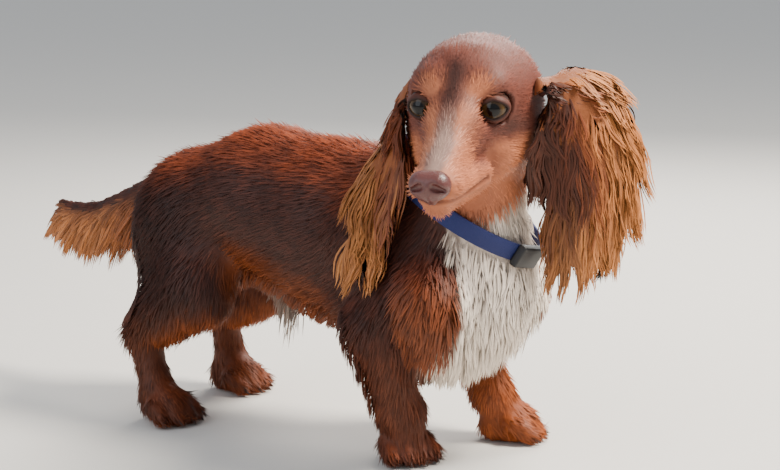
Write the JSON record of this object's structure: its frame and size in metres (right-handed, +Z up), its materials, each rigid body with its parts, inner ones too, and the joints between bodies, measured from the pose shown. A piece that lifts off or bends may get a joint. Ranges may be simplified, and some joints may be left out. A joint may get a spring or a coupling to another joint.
{
  "type": "dachshund",
  "caption": "Long-haired miniature dachshund, chocolate and tan with a white chest, standing with its head turned to its right, in a blue collar.",
  "frame": {"origin": "on the floor, under the middle of the whole model's box", "axes": "+Z up; the body faces -Y and its left side is +X; the head is turned towards -X"},
  "size_m": [0.1834, 0.4598, 0.2513],
  "materials": {
    "body_coat": "long chocolate-brown dog's coat, white on the chest",
    "face_coat": "short chocolate coat with tan marks",
    "ear_coat": "long wavy coat, red-brown to gold at the ends",
    "tail_coat": "long feathered coat, golden tips",
    "leg_coat": "short to medium red-brown coat",
    "nose_leather": "moist, finely pebbled, liver brown",
    "eye": "wet gloss, hazel iris round a dark pupil",
    "claw": "dark horn, satin",
    "collar_web": "woven blue webbing",
    "buckle": "black moulded clip"
  },
  "bodies": {
    "root": {"torso": "body_coat", "neck": "body_coat", "head": "face_coat", "nose": "nose_leather", "eye_left": "eye", "eye_right": "eye", "ear_left": "ear_coat", "ear_right": "ear_coat", "foreleg_left": "leg_coat", "forepaw_left": "leg_coat", "claw_fore_left_1": "claw", "claw_fore_left_2": "claw", "claw_fore_left_3": "claw", "claw_fore_left_4": "claw", "foreleg_right": "leg_coat", "forepaw_right": "leg_coat", "claw_fore_right_1": "claw", "claw_fore_right_2": "claw", "claw_fore_right_3": "claw", "claw_fore_right_4": "claw", "hindleg_left": "leg_coat", "hindpaw_left": "leg_coat", "claw_hind_left_1": "claw", "claw_hind_left_2": "claw", "claw_hind_left_3": "claw", "claw_hind_left_4": "claw", "hindleg_right": "leg_coat", "hindpaw_right": "leg_coat", "claw_hind_right_1": "claw", "claw_hind_right_2": "claw", "claw_hind_right_3": "claw", "claw_hind_right_4": "claw", "tail": "tail_coat", "collar": "collar_web", "collar_buckle": "buckle"}
  },
  "joints": []
}
